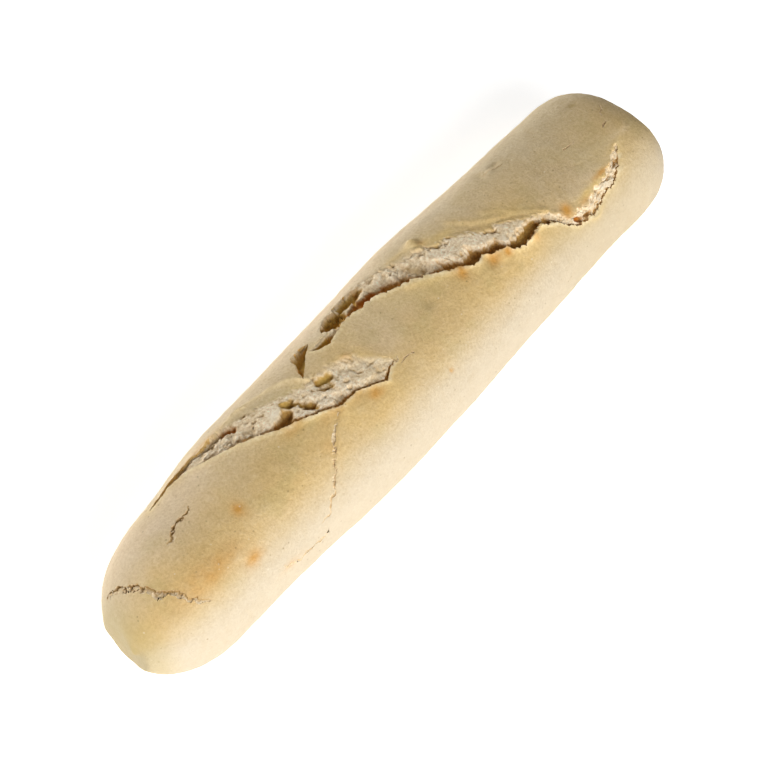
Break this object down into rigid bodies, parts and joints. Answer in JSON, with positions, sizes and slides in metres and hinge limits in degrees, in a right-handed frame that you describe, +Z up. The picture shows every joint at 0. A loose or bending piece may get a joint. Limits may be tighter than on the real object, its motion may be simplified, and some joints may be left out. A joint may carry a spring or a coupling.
{
  "type": "baguette",
  "caption": "Pale part-baked half baguette with long torn slashes along its top and a flat base.",
  "frame": {"origin": "middle of the loaf's bounding box, on the flat base", "axes": "+X along the loaf towards the squarer end, +Z up, -Y towards the side that the slash lips hang over"},
  "size_m": [0.2882, 0.063, 0.0493],
  "materials": {
    "crust": "matte, dry, part-baked crust with pale open crumb in the slashes"
  },
  "bodies": {
    "root": {"loaf": "crust"}
  },
  "joints": []
}
